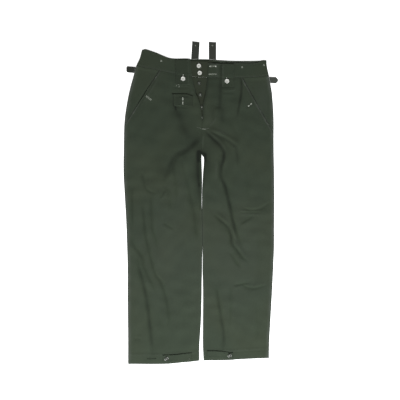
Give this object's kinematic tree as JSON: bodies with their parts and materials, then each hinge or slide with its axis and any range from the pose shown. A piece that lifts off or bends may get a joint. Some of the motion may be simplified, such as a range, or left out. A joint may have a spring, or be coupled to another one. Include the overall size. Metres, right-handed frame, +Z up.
{
  "type": "fatigue trousers laid flat",
  "caption": "Straight-cut fatigue trousers laid flat on their back, fly open, with slash pockets, buttoned belt loops, brace straps, waist tabs and ankle straps.",
  "frame": {"origin": "on the surface the trousers lie on, under the centre of their bounding box", "axes": "+X to the wearer's left, +Y from the hems to the waist, +Z up, away from the surface, out of the front of the trousers"},
  "size_m": [0.5638, 1.1785, 0.0127],
  "materials": {
    "cloth": "matte grey-green twill",
    "cloth_worn": "the same twill, slightly greyer",
    "button_dark": "matte dark grey-green",
    "button_white": "satin white dish button"
  },
  "bodies": {
    "root": {"front_right": "cloth", "front_left": "cloth", "back_right": "cloth", "back_left": "cloth", "waistband_front_right": "cloth", "waistband_front_left": "cloth", "waistband_back": "cloth", "watch_pocket_flap": "cloth", "belt_loop_right": "cloth", "belt_loop_left": "cloth", "pocket_facing_right": "cloth_worn", "pocket_facing_left": "cloth_worn", "fly_catch": "cloth_worn", "waistband_catch": "cloth_worn", "brace_strap_right": "cloth_worn", "brace_strap_left": "cloth_worn", "ankle_strap_right": "cloth_worn", "ankle_strap_left": "cloth_worn", "side_tab_right": "cloth_worn", "side_tab_left": "cloth_worn", "fly_button_1": "button_dark", "fly_button_2": "button_dark", "fly_button_3": "button_dark", "fly_button_4": "button_dark", "belt_loop_button_right": "button_white", "belt_loop_button_left": "button_white", "ankle_button_right": "button_dark", "ankle_button_left": "button_dark", "waistband_button_upper": "button_white", "waistband_button_lower": "button_white"}
  },
  "joints": []
}
